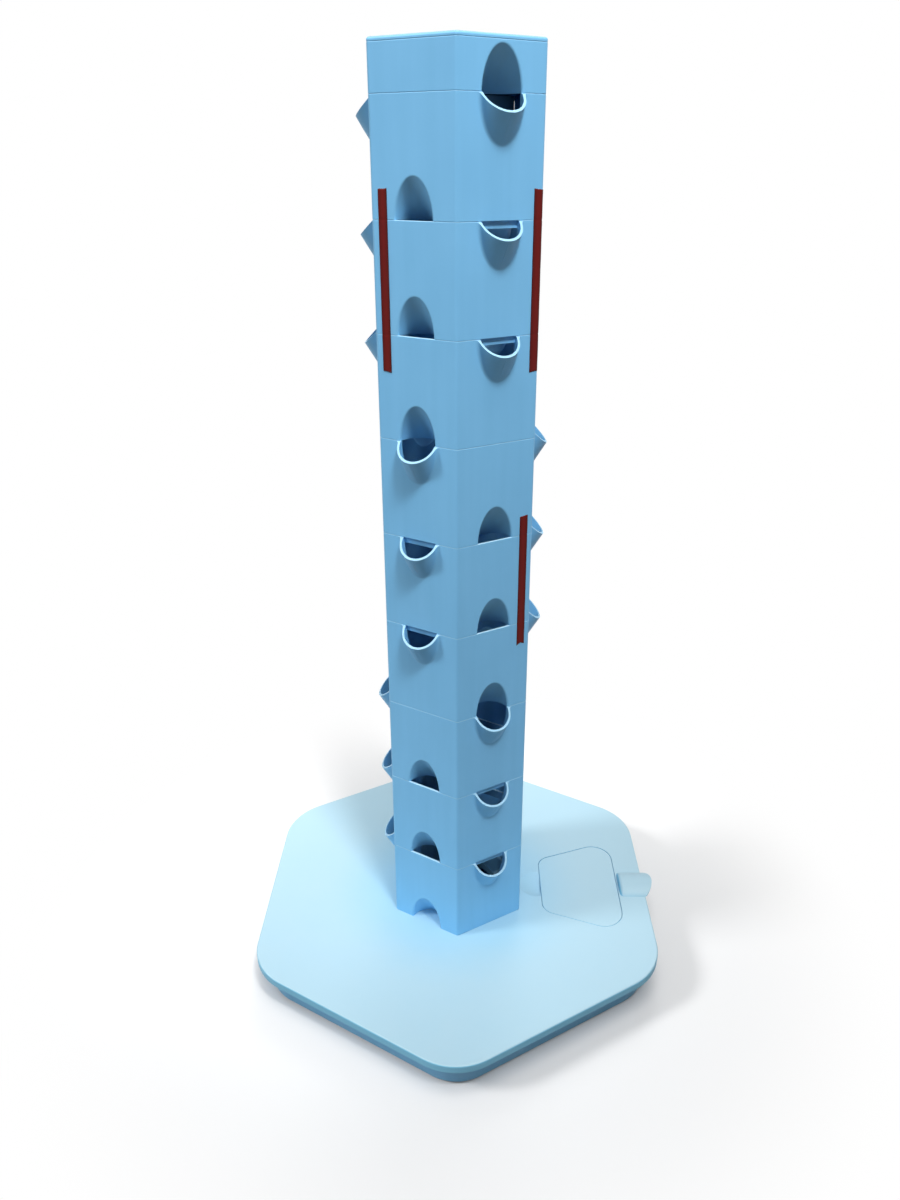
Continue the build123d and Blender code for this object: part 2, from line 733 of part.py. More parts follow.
# Drip head: a hexagonal dish on the riser's end that spreads water over the walls
drip_hub_radius = pipe_radius + pipe_clearance + drip_hub_wall
drip_foot = riser_top - drip_hub_depth
hub_top = riser_top + drip_plate + drip_window
drip_reach = niche_back - drip_margin
with BuildPart() as drip_head:
    extrude(hexagon(2 * drip_reach, drip_corner, drip_foot), amount=drip_rim)
    fillet(drip_head.faces().sort_by(Axis.Z)[0].edges(), drip_round)
    hollow = hexagon(2 * drip_reach - 2 * drip_plate, drip_corner - drip_plate, drip_foot + drip_plate)
    extrude(hollow, amount=drip_rim, mode=Mode.SUBTRACT)
    with BuildSketch(Plane.XY.offset(drip_foot)):
        Circle(drip_hub_radius)
    extrude(amount=hub_top - drip_foot)
    with BuildSketch(Plane.XY.offset(drip_foot)):
        Circle(pipe_radius + pipe_clearance)
    extrude(amount=drip_hub_depth, mode=Mode.SUBTRACT)
    with BuildSketch(Plane.XY.offset(drip_foot)):
        Circle(pipe_bore_radius)
        with PolarLocations(drip_reach - drip_hole_inset, drip_hole_count):
            Circle(drip_hole_radius)
    extrude(amount=hub_top - drip_foot, mode=Mode.SUBTRACT)
    with BuildSketch(Plane.XY.offset(riser_top + drip_plate)):
        Rectangle(3 * drip_hub_radius, drip_window)
        Rectangle(drip_window, 3 * drip_hub_radius)
    extrude(amount=drip_window, mode=Mode.SUBTRACT)
save(drip_head.part, "drip_head")

# Spray cap: turns the jet down into the dish
with BuildPart() as spray_cap:
    with BuildSketch(Plane.XY.offset(hub_top)):
        Circle(drip_hub_radius + spray_cap_overhang)
    extrude(amount=spray_cap_height)
    fillet(spray_cap.faces().sort_by(Axis.Z)[-1].edges(), spray_cap_round)
save(spray_cap.part, "spray_cap")
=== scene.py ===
# Hydroponic tower: moulded plastic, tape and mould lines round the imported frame
import json
from math import cos, pi, radians, sin

import bpy
import numpy as np
from mathutils import Euler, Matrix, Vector


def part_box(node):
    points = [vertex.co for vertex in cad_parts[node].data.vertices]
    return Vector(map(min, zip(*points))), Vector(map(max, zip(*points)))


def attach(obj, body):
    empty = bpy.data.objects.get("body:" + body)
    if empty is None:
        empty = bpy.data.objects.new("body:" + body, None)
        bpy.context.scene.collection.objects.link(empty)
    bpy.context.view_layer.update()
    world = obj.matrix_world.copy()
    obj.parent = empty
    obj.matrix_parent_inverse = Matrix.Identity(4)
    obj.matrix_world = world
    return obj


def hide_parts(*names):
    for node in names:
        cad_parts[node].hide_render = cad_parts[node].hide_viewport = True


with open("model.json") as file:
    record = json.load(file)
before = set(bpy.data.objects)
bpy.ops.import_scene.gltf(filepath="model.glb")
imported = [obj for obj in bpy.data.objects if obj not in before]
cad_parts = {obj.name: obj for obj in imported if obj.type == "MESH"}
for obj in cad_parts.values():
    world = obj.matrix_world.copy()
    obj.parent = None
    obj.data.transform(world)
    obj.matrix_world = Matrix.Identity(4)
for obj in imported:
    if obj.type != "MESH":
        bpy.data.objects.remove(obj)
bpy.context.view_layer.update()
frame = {"nodes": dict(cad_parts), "record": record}
nodes = frame["nodes"]
bodiesOfRecord = frame["record"]["behaviour"]["bodies"]
bodyOfNode = {name: body for body, names in bodiesOfRecord.items() for name in names}
mm = 0.001               # sizes below are in millimetres, meshes in metres
skyward = np.array([0.0, 0.0, 1.0])

# the tower's sizes: width, pitch and lid are read from the frame, the others are those of the solids
sectionCount = sum(name.startswith("tower_section_") for name in nodes)        # numbered from the top
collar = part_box("top_collar")
sectionTops = [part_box(f"tower_section_{number}")[1].z for number in (1, sectionCount)]
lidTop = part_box("base_lid")[1].z / mm
tower = {
    "sides": 6,
    "acrossFlats": (collar[1].x - collar[0].x) / mm,
    "cornerRadius": 5.0,
    "sectionHeight": (sectionTops[0] - sectionTops[1]) / (sectionCount - 1) / mm,
    "stackCount": 3,         # sections that stand unturned on each other
    "stackTurn": 60,         # degrees, one stack against the next
    "pocketCount": 3,        # cups on a section, and as many niches
    "firstCup": 60,          # degrees, bearing of a cup in the uppermost stack
    "cupRadius": 28.0,       # outside
    "pocketLean": 32.0,      # degrees from upright
    "rimSlope": 45.0,        # degrees, slope of a cup's mouth
}
wallReach = tower["acrossFlats"] / 2
seams = lidTop + tower["sectionHeight"] * np.arange(sectionCount + 1)        # heights, from the lid up


def linear(hexColour):
    # sRGB hex to linear light: straight below 0.04045, a power of 2.4 above
    srgb = np.array([int(hexColour[i:i + 2], 16) for i in (1, 3, 5)]) / 255
    light = np.where(srgb <= 0.04045, srgb / 12.92, ((srgb + 0.055) / 1.055) ** 2.4)
    return (*(float(c) for c in light), 1.0)


def perMetre(sizeInMm):
    return 1000.0 / sizeInMm        # texture scale that gives a pattern of this size


def span(ends, side="From"):
    # the two ends of one side of a Map Range
    return {side + " Min": ends[0], side + " Max": ends[1]}


def addNode(tree, kind, inputs=None, **settings):
    # one node: settings are its properties; inputs hold plain values, outputs to link,
    # or nodes to link by their first output
    node = tree.nodes.new(kind)
    for key, value in settings.items():
        setattr(node, key, value)
    for socket, value in (inputs or {}).items():
        if isinstance(value, bpy.types.Node):
            value = value.outputs[0]
        if isinstance(value, bpy.types.NodeSocket):
            tree.links.new(value, node.inputs[socket])
        else:
            node.inputs[socket].default_value = value
    return node


def emptyTree(owner):
    # a material's or the world's nodes, with nothing in them yet
    owner.use_nodes = True
    owner.node_tree.nodes.clear()
    return owner.node_tree


def newMaterial(name):
    material = bpy.data.materials.new(name)
    tree = emptyTree(material)
    place = addNode(tree, "ShaderNodeTexCoord").outputs["Object"]
    return material, tree, place


noiseSpan = (0.3, 0.7)        # most of a noise lies between these
bumpDepth = 0.2               # mm, height of a moulded grain

# injection-moulded polypropylene, dyed sky blue: even colour, soft sheen, faint flow lines from the gate, a
# fine peel from the mould, edges rubbed paler with a painted highlight. What faces up gets painted light,
# paler, and a little dust lies there. The walls inside, and the cups below the seams, get painted shade: they
# are painted dark
towerLook = {
    "body": "#80c4f1", "deep": "#7cc0ed", "rubbedAndHighlit": "#a9d8f2",
    # of the next three colours the first is painted light on faces that look up, the last painted shade inside
    # the tower; dust is real
    "paintedTop": "#b0d5e6", "dust": "#c4d6de", "paintedShade": "#4f7f9f",
    "mottle": 85.0, "flow": 16.0, "peel": 2.4, "smudge": 42.0,      # sizes of the patterns in mm
    "flowRise": 0.07,                  # the flow pattern's scale up the wall, against across it
    "tone": (0.75, 1.25),              # mottle plus flow, from deep to body colour
    "edge": 1.2, "rubAndHighlight": 0.25,      # mm that count as an edge, and how pale it is rubbed and painted with a highlight
    "edgeBend": (0.99, 0.85),          # cosine between the true and the rounded normal
    "topPainting": 0.85, "topPaintSlope": (0.45, 0.85),      # painted light: what looks up is painted paler; slopes are upward parts of a face's normal
    "dusting": 0.10, "dustSlope": (0.6, 0.95),
    "paintedTowerShade": 0.0, "paintedTowerShadeReach": (100.0, 220.0),      # mm from the axis: painted shade beside the tower, which holds back the painted light
    "paintedShadeFloor": 0.0,                   # 1 where the piece is the floor inside the tower, which takes the painted shade too
    "rough": (0.40, 0.54), "ior": 1.49, "gloss": 0.35, "bump": 0.10,
}
# the lid lies flat under the lamps: its upper face gets painted light all over, held back beside the tower as
# painted shade; it is smoother
lidLook = dict(
    towerLook, body="#80c6e6", deep="#7cc2e3", paintedTop="#b0d3e2", dust="#d2dfe5", mottle=130.0, flow=60.0,
    topPainting=1.0, dusting=0.14, paintedTowerShade=0.4, paintedShadeFloor=1.0, rough=(0.36, 0.46), gloss=0.25,
)
# the top cover gathers the most dust, which greys its upper face
# the top cover's upper face is painted a darker grey-blue, a painted shade in place of the painted light, and
# its dust is greyer
coverLook = dict(towerLook, paintedTop="#7ea5ba", dust="#98a9b1", topPainting=0.9)
# the tray is always covered: no painted light on what looks up, and no dust
trayLook = dict(towerLook, topPainting=0.0, dusting=0.0)

# where the inside of the tower gets painted shade, each pair from unshaded to shaded
paintedShadeZone = {
    "skin": (2.0, 8.0),            # mm behind the wall's face
    "lookingIn": (-0.1, -0.3),     # cosine between a face and the way out
    "cupsFrom": 0.5,               # share of a section's height, above which its cups stand
    "besideNiche": (0.4, 0.1),     # cosine of pocketCount times the bearing, 1 in the middle of a niche
    "trayTop": lidTop / 2,         # mm, what is lower belongs to the tray
}


def dyedColour(tree, place, look):
    # blotches and flow lines; these run up the wall, so their pattern is stretched along Z
    mottle = addNode(tree, "ShaderNodeTexNoise", {
        "Vector": place, "Scale": perMetre(look["mottle"]), "Detail": 2.0, "Roughness": 0.5})
    upright = addNode(tree, "ShaderNodeMapping", {"Vector": place, "Scale": (1.0, 1.0, look["flowRise"])})
    flow = addNode(tree, "ShaderNodeTexNoise", {
        "Vector": upright, "Scale": perMetre(look["flow"]), "Detail": 3.0})
    both = addNode(tree, "ShaderNodeMath", {0: mottle, 1: flow}, operation="ADD")
    tone = addNode(tree, "ShaderNodeMapRange", {"Value": both, **span(look["tone"])})
    return addNode(tree, "ShaderNodeMixRGB", {
        "Fac": tone, "Color1": linear(look["deep"]), "Color2": linear(look["body"])})


def rubbedAndHighlitEdges(tree, colour, facing, look):
    # paler where the rounded normal leaves the true one: rubbed wear with a painted highlight on it
    rounded = addNode(tree, "ShaderNodeBevel", {"Radius": look["edge"] * mm}, samples=4)
    agree = addNode(tree, "ShaderNodeVectorMath", {0: rounded, 1: facing}, operation="DOT_PRODUCT")
    edge = addNode(tree, "ShaderNodeMapRange", {
        "Value": agree.outputs["Value"], **span(look["edgeBend"]), "To Max": look["rubAndHighlight"]})
    return addNode(tree, "ShaderNodeMixRGB", {
        "Fac": edge, "Color1": colour, "Color2": linear(look["rubbedAndHighlit"])})


def paintedTopAndDusty(tree, colour, facing, reach, smudge, look):
    # what looks up gets painted light, paler, held back beside the tower as painted shade, and dust settles on
    # level faces in patches
    upward = addNode(tree, "ShaderNodeSeparateXYZ", {"Vector": facing}).outputs["Z"]
    topLightMask = addNode(tree, "ShaderNodeMapRange", {
        "Value": upward, **span(look["topPaintSlope"]), "To Max": look["topPainting"]}, interpolation_type="SMOOTHSTEP")
    outsideTowerShade = addNode(tree, "ShaderNodeMapRange", {
        "Value": reach, **span([size * mm for size in look["paintedTowerShadeReach"]]), "To Min": 1 - look["paintedTowerShade"]},
        interpolation_type="SMOOTHSTEP")
    topLightShare = addNode(tree, "ShaderNodeMath", {0: topLightMask, 1: outsideTowerShade}, operation="MULTIPLY")
    paintedTop = addNode(tree, "ShaderNodeMixRGB", {
        "Fac": topLightShare, "Color1": colour, "Color2": linear(look["paintedTop"])})
    lying = addNode(tree, "ShaderNodeMapRange", {
        "Value": upward, **span(look["dustSlope"]), "To Max": look["dusting"]})
    patch = addNode(tree, "ShaderNodeMath", {0: lying, 1: smudge}, operation="MULTIPLY")
    return addNode(tree, "ShaderNodeMixRGB", {
        "Fac": patch, "Color1": paintedTop, "Color2": linear(look["dust"])})


def paintedShadeInside(tree, place, facing, level, reach, look):
    # 1 where shade is painted inside the tower: nearer to the axis than the wall, and either looking towards
    # the axis, or as high as the cups of a section. The lid takes the painted shade there too, but not in the
    # lowest niches
    at = addNode(tree, "ShaderNodeSeparateXYZ", {"Vector": place}).outputs
    outward = addNode(tree, "ShaderNodeVectorMath", {0: level}, operation="NORMALIZE")
    away = addNode(tree, "ShaderNodeVectorMath", {0: outward, 1: facing}, operation="DOT_PRODUCT")
    inward = addNode(tree, "ShaderNodeMapRange", {
        "Value": away.outputs["Value"], **span(paintedShadeZone["lookingIn"])})
    sections = addNode(tree, "ShaderNodeMapRange", {
        "Value": at["Z"], **span([float(seam) * mm for seam in seams[:2]])}, clamp=False)
    climb = addNode(tree, "ShaderNodeMath", {0: sections}, operation="FRACT")
    cups = addNode(tree, "ShaderNodeMath", {0: climb, 1: paintedShadeZone["cupsFrom"]}, operation="GREATER_THAN")
    hidden = addNode(tree, "ShaderNodeMath", {0: inward, 1: cups}, operation="MAXIMUM")
    bearing = addNode(tree, "ShaderNodeMath", {0: at["Y"], 1: at["X"]}, operation="ARCTAN2")
    turns = addNode(tree, "ShaderNodeMath", {0: bearing, 1: tower["pocketCount"]}, operation="MULTIPLY")
    lobes = addNode(tree, "ShaderNodeMath", {0: turns}, operation="COSINE")
    between = addNode(tree, "ShaderNodeMapRange", {
        "Value": lobes, **span(paintedShadeZone["besideNiche"]), "To Max": look["paintedShadeFloor"]})
    paintedShadeShare = addNode(tree, "ShaderNodeMath", {0: hidden, 1: between}, operation="MAXIMUM")
    near = addNode(tree, "ShaderNodeMapRange", {
        "Value": reach, **span([(wallReach - depth) * mm for depth in paintedShadeZone["skin"]])})
    above = addNode(tree, "ShaderNodeMath", {0: at["Z"], 1: paintedShadeZone["trayTop"] * mm}, operation="GREATER_THAN")
    inTower = addNode(tree, "ShaderNodeMath", {0: near, 1: above}, operation="MULTIPLY")
    return addNode(tree, "ShaderNodeMath", {0: inTower, 1: paintedShadeShare}, operation="MULTIPLY")


def mouldedPlastic(name, look):
    material, tree, place = newMaterial(name)
    facing = addNode(tree, "ShaderNodeNewGeometry").outputs["Normal"]
    level = addNode(tree, "ShaderNodeVectorMath", {0: place, 1: (1.0, 1.0, 0.0)}, operation="MULTIPLY")
    reach = addNode(tree, "ShaderNodeVectorMath", {0: level}, operation="LENGTH").outputs["Value"]
    smudge = addNode(tree, "ShaderNodeTexNoise", {
        "Vector": place, "Scale": perMetre(look["smudge"]), "Detail": 5.0, "Roughness": 0.6})
    colour = rubbedAndHighlitEdges(tree, dyedColour(tree, place, look), facing, look)
    colour = paintedTopAndDusty(tree, colour, facing, reach, smudge, look)
    # painted shade darkens the inside of the tower
    shaded = addNode(tree, "ShaderNodeMixRGB", {
        "Fac": paintedShadeInside(tree, place, facing, level, reach, look),
        "Color1": colour, "Color2": linear(look["paintedShade"])})
    sheen = addNode(tree, "ShaderNodeMapRange", {
        "Value": smudge, **span(noiseSpan), **span(look["rough"], "To")})
    # the real peel is finer than a pixel, so it is drawn at about 2 mm
    peel = addNode(tree, "ShaderNodeTexNoise", {
        "Vector": place, "Scale": perMetre(look["peel"]), "Detail": 2.0})
    grain = addNode(tree, "ShaderNodeBump", {
        "Strength": look["bump"], "Distance": bumpDepth * mm, "Height": peel})
    shader = addNode(tree, "ShaderNodeBsdfPrincipled", {
        "Base Color": shaded, "Roughness": sheen, "Normal": grain,
        "IOR": look["ior"], "Specular IOR Level": look["gloss"]})
    addNode(tree, "ShaderNodeOutputMaterial", {"Surface": shader})
    return material


# plain mouldings and fittings inside: one speckle, one roughness range
fittings = {
    # matt black rubber
    "black_rubber": {"name": "mouldedNitrileRubber", "body": "#171717", "spot": "#262625", "grain": 1.6,
                     "rough": (0.65, 0.82), "metal": 0.0, "bump": 0.25},
    # dull black plastic, its surface uneven from the fibres
    "black_plastic": {"name": "glassFilledNylonBlack", "body": "#1b1c1e", "spot": "#2a2c2f", "grain": 3.0,
                      "rough": (0.42, 0.58), "metal": 0.0, "bump": 0.15},
    # smooth black pipe with a waxy sheen
    "black_pipe": {"name": "extrudedBlackPolyethylene", "body": "#1a1b1d", "spot": "#232528", "grain": 22.0,
                   "rough": (0.34, 0.46), "metal": 0.0, "bump": 0.04},
    # bright steel with fine grinding marks
    "shaft_steel": {"name": "groundStainlessSteel", "body": "#b9babb", "spot": "#a4a6a8", "grain": 1.2,
                    "rough": (0.18, 0.30), "metal": 1.0, "bump": 0.05},
    # dark grey, grainy as slate
    "impeller_magnet": {"name": "bondedFerriteMagnet", "body": "#2b2a29", "spot": "#3a3836", "grain": 1.5,
                        "rough": (0.5, 0.68), "metal": 0.0, "bump": 0.12},
}


def fittingMaterial(look):
    material, tree, place = newMaterial(look["name"])
    speck = addNode(tree, "ShaderNodeTexNoise", {
        "Vector": place, "Scale": perMetre(look["grain"]), "Detail": 4.0, "Roughness": 0.6})
    colour = addNode(tree, "ShaderNodeMixRGB", {
        "Fac": speck, "Color1": linear(look["body"]), "Color2": linear(look["spot"])})
    rough = addNode(tree, "ShaderNodeMapRange", {
        "Value": speck, **span(noiseSpan), **span(look["rough"], "To")})
    bump = addNode(tree, "ShaderNodeBump", {
        "Strength": look["bump"], "Distance": bumpDepth * mm, "Height": speck})
    shader = addNode(tree, "ShaderNodeBsdfPrincipled", {
        "Base Color": colour, "Roughness": rough, "Normal": bump, "Metallic": look["metal"]})
    addNode(tree, "ShaderNodeOutputMaterial", {"Surface": shader})
    return material


# calendered vinyl tape, dark red: slight gloss, the middle a little lighter than the edges
tapeLook = {
    "body": "#5e1614", "middle": "#6b1a17", "edge": "#430e0e",
    "stops": ((0.14, "body"), (0.45, "middle"), (0.6, "middle"), (0.88, "body")),      # across the strip
    "grain": 1.5, "wear": (0.85, 1.12),        # mm, and how far it darkens and lightens the colour
    "rough": (0.38, 0.55), "gloss": 0.12, "bump": 0.2, "bumpDepth": 0.1,
}


def vinylTape():
    material, tree, place = newMaterial("calenderedVinylTapeRed")
    across = addNode(tree, "ShaderNodeSeparateXYZ", {"Vector": addNode(tree, "ShaderNodeUVMap")})
    middle = addNode(tree, "ShaderNodeValToRGB", {"Fac": across.outputs["X"]})
    stops = middle.color_ramp.elements
    stops[0].color, stops[1].color = linear(tapeLook["edge"]), linear(tapeLook["edge"])
    for at, key in tapeLook["stops"]:
        stops.new(at).color = linear(tapeLook[key])
    speck = addNode(tree, "ShaderNodeTexNoise", {
        "Vector": place, "Scale": perMetre(tapeLook["grain"]), "Detail": 4.0})
    worn = addNode(tree, "ShaderNodeMapRange", {"Value": speck, **span(tapeLook["wear"], "To")})
    colour = addNode(tree, "ShaderNodeVectorMath", {0: middle, "Scale": worn}, operation="SCALE")
    rough = addNode(tree, "ShaderNodeMapRange", {"Value": speck, **span(tapeLook["rough"], "To")})
    bump = addNode(tree, "ShaderNodeBump", {
        "Strength": tapeLook["bump"], "Distance": tapeLook["bumpDepth"] * mm, "Height": speck})
    shader = addNode(tree, "ShaderNodeBsdfPrincipled", {
        "Base Color": colour, "Roughness": rough, "Normal": bump, "Specular IOR Level": tapeLook["gloss"]})
    addNode(tree, "ShaderNodeOutputMaterial", {"Surface": shader})
    return material


towerPlastic = mouldedPlastic("mouldedPolypropyleneBlue", towerLook)
lidPlastic = mouldedPlastic("mouldedPolypropyleneLidPaintedLight", lidLook)
coverPlastic = mouldedPlastic("mouldedPolypropyleneDustAndPaintedShade", coverLook)
trayPlastic = mouldedPlastic("mouldedPolypropyleneCovered", trayLook)
tapeMaterial = vinylTape()
slotMaterials = {slot: fittingMaterial(look) for slot, look in fittings.items()}
slotMaterials["blue_plastic"] = towerPlastic
slotMaterials["red_tape"] = tapeMaterial
ownMaterials = {
    "base_lid": lidPlastic, "fill_hatch": lidPlastic, "cord_hood": lidPlastic,
    "top_cover": coverPlastic, "reservoir_tray": trayPlastic,
}
print("materials:", len({*slotMaterials.values(), *ownMaterials.values()}))

for name, piece in nodes.items():
    slot = piece.data.materials[0].name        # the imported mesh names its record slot
    piece.data.materials.clear()
    piece.data.materials.append(ownMaterials.get(name, slotMaterials[slot]))
print("dressed:", len(nodes), "solids")


def wallFrame(faceAngle):
    # a wall's outward normal and its sideways direction, both level
    turn = radians(faceAngle)
    return np.array([cos(turn), sin(turn), 0.0]), np.array([-sin(turn), cos(turn), 0.0])


def wallPoint(faceAngle, along, height, lift):
    # point on the tower's outline: along is measured on the surface from the middle of a face,
    # straight on the flat and then round the corner's arc; lift stands off the wall
    normal, side = wallFrame(faceAngle)
    radius = tower["cornerRadius"]
    flat = (wallReach - radius) * np.tan(pi / tower["sides"])
    bend = np.clip(np.abs(along) - flat, 0, None) / radius * np.sign(along)
    straight = np.clip(along, -flat, flat)
    out = wallReach - radius + (radius + lift) * np.cos(bend)
    sideways = straight + (radius + lift) * np.sin(bend)
    return out[..., None] * normal + sideways[..., None] * side + height[..., None] * skyward


def gridMesh(name, grids, material, tube=False):
    # grids of points as one mesh of quads; in a tube the last column joins the first and the ends are capped
    points, faces, first = [], [], 0
    for grid in grids:
        rows, columns = grid.shape[:2]
        index = first + np.arange(rows * columns).reshape(rows, columns)
        if tube:
            faces += [index[0, ::-1].tolist(), index[-1].tolist()]
            index = np.concatenate([index, index[:, :1]], axis=1)
        quads = np.stack([index[:-1, :-1], index[:-1, 1:], index[1:, 1:], index[1:, :-1]], axis=-1)
        faces += quads.reshape(-1, 4).tolist()
        points.append(grid.reshape(-1, 3) * mm)
        first += rows * columns
    mesh = bpy.data.meshes.new(name)
    mesh.from_pydata(np.concatenate(points).tolist(), [], faces)
    mesh.polygons.foreach_set("use_smooth", np.ones(len(mesh.polygons), bool))
    mesh.materials.append(material)
    piece = bpy.data.objects.new(name, mesh)
    bpy.context.scene.collection.objects.link(piece)
    return piece


# tape strips, laid over the seams of a stack and torn off by hand
tape = {
    "thickness": 0.4, "glue": 0.05, "step": 1.5, "columns": 17,
    "dip": 0.30, "dipWidth": 1.3,          # pressed into a seam
    "ripple": 0.05, "rippleLength": 37.0,  # along the strip
    "rippleSkew": 3.0,                     # radians, one edge ahead of the other
    "curl": 0.12, "curlPower": 6,          # edges standing up
    "ragged": 0.5,                         # unevenness of a torn end
}
# face is a bearing in degrees, from and to are mm along it from its middle
tapeStrips = {
    "tape_strip_left": {"face": 240, "from": -47.5, "to": -35.5,
                        "slantHead": 0.8, "slantFoot": -1.6, "notch": 0.3},
    "tape_strip_right": {"face": 300, "from": 45.0, "to": 57.4,
                         "slantHead": -1.2, "slantFoot": 1.4, "notch": 0.4},
    "tape_strip_lower": {"face": 300, "from": 37.5, "to": 49.5,
                         "slantHead": 1.4, "slantFoot": 0.6, "notch": 3.2},
}


def tapeStrip(node, strip, seed):
    # across runs 0 to 1 over the width and up 0 to 1 over the length. The ends are a slant plus a V and
    # a seeded raggedness. The lift is thickness, a slow ripple, curled edges and a dip at each seam
    low, high = (corner.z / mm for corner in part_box(node))
    across = np.linspace(0, 1, tape["columns"])
    up = np.linspace(0, 1, int((high - low) / tape["step"]))
    rag = np.random.default_rng(seed).uniform(0, tape["ragged"], (2, tape["columns"]))
    foot = low + abs(strip["slantFoot"]) / 2 + strip["slantFoot"] * (across - 0.5) + rag[0]
    foot = foot + strip["notch"] * (1 - np.abs(2 * across - 1))
    head = high - abs(strip["slantHead"]) / 2 + strip["slantHead"] * (across - 0.5) - rag[1]
    height = foot + (head - foot) * up[:, None]
    along = np.broadcast_to(strip["from"] + (strip["to"] - strip["from"]) * across, height.shape)
    dips = np.exp(-((height[..., None] - seams) / tape["dipWidth"]) ** 2).sum(-1)
    phase = 2 * pi * height / tape["rippleLength"] + tape["rippleSkew"] * across
    curl = np.abs(2 * across - 1) ** tape["curlPower"] * tape["curl"]
    lift = tape["glue"] + tape["thickness"] + np.sin(phase) * tape["ripple"] + curl - tape["dip"] * dips
    piece = gridMesh("vinyl_" + node, [wallPoint(strip["face"], along, height, lift)], tapeMaterial)
    uv = np.stack([np.broadcast_to(across, height.shape), np.broadcast_to(up[:, None], height.shape)], -1)
    layer = piece.data.uv_layers.new(name="UVMap")
    corners = np.zeros(len(piece.data.loops), int)
    piece.data.loops.foreach_get("vertex_index", corners)
    layer.data.foreach_set("uv", uv.reshape(-1, 2)[corners].astype(np.float32).ravel())
    shell = piece.modifiers.new("shell", "SOLIDIFY")
    shell.thickness = tape["thickness"] * mm
    shell.offset = -1
    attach(piece, bodyOfNode[node])
    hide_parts(node)


for seed, (node, strip) in enumerate(tapeStrips.items()):
    tapeStrip(node, strip, seed)
print("tape:", len(tapeStrips), "strips")

# mould parting lines: a fine ridge down the underside of each cup, drawn a little broader than real
ridge = {
    "width": 0.9, "height": 0.3, "fromFace": 9.0, "fromRim": 2.0, "steps": 28, "sides": 10,
    "thinnest": 0.05, "taperPower": 0.4,        # at its ends; a small power keeps it full for longer
}


def partingLine(faceAngle, seam):
    # along the outermost line of the leaning cup: its radius out from the bore's axis, then up that axis.
    # The section is an ellipse half sunk in the wall, tapering at both ends
    lean, slope = radians(tower["pocketLean"]), radians(tower["rimSlope"])
    radius = tower["cupRadius"]
    foot = -radius / np.tan(lean) + ridge["fromFace"]
    mouth = -radius * np.tan(slope - lean) - ridge["fromRim"]
    run = np.linspace(0, 1, ridge["steps"])[:, None]
    aroundLine = np.linspace(0, 2 * pi, ridge["sides"], endpoint=False)
    taper = np.clip(np.sin(pi * run), ridge["thinnest"], None) ** ridge["taperPower"]
    climb = foot + (mouth - foot) * run
    out = radius + ridge["height"] * taper * np.sin(aroundLine)
    sideways = ridge["width"] / 2 * taper * np.cos(aroundLine)
    normal, side = wallFrame(faceAngle)
    reach = wallReach + out * cos(lean) + climb * sin(lean)
    height = seam - out * sin(lean) + climb * cos(lean)
    return reach[..., None] * normal + sideways[..., None] * side + height[..., None] * skyward


linesOfBody = {}
for number in range(1, sectionCount + 1):
    turned = (number - 1) // tower["stackCount"] % 2        # every second stack
    firstCup = tower["firstCup"] + tower["stackTurn"] * turned
    cupAngles = firstCup + 360 // tower["pocketCount"] * np.arange(tower["pocketCount"])
    lines = linesOfBody.setdefault(bodyOfNode[f"tower_section_{number}"], [])
    lines += [partingLine(angle, seams[-number]) for angle in cupAngles]
for body, lines in linesOfBody.items():
    piece = gridMesh("parting_lines_" + body, lines, towerPlastic, tube=True)
    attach(piece, body)
print("parting lines:", sum(len(lines) for lines in linesOfBody.values()))

# studio: a pale floor that shows the shadow, white behind, and soft lamps under a dim sky
studio = {
    "floorSize": 60.0, "floorSeen": "#f4f4f4", "floorBounce": "#7d7873", "backdrop": "#ffffff",
    "whiteFrom": 0.34, "whiteTo": 0.7,      # metres from the tower, where the floor turns into the white behind
    "zenith": 0.5, "horizon": 0.13, "overhead": 4.0,      # sky light, gathered overhead by this power
    "sunDistance": 4.0,                     # metres, gives a sun its direction only
}
lamps = {
    # side is the bearing from the front, to the right; rise is the height above the horizon, in degrees
    "window_left": {"energy": 1.35, "side": -78.0, "rise": 37.0, "size": 12.0},
    "sky_front": {"energy": 1.2, "side": 10.0, "rise": 74.0, "size": 40.0},
    "sky_behind": {"energy": 0.3, "side": 172.0, "rise": 50.0, "size": 20.0},
}
spots = {
    # high in front: its light thins out towards the tower's foot
    "boom_lamp": {"place": (1.04, -2.16, 5.2), "target": (0.0, 0.0, 1.3), "energy": 1360.0,
                  "size": 0.55, "cone": 16.2, "blend": 0.8},
    # low in front: lifts the foot and the base's edge
    "floor_lamp": {"place": (0.1, -2.2, 0.55), "target": (0.0, -0.1, 0.12), "energy": 26.0,
                   "size": 0.3, "cone": 16.0, "blend": 1.0},
}


def seenRay(tree):
    # 1 for rays that come straight, by gloss or through glass to the eye, 0 for light that bounces on
    path = addNode(tree, "ShaderNodeLightPath").outputs
    gloss = addNode(tree, "ShaderNodeMath", {0: path["Is Camera Ray"], 1: path["Is Glossy Ray"]},
                    operation="MAXIMUM")
    return addNode(tree, "ShaderNodeMath", {0: gloss, 1: path["Is Transmission Ray"]}, operation="MAXIMUM")


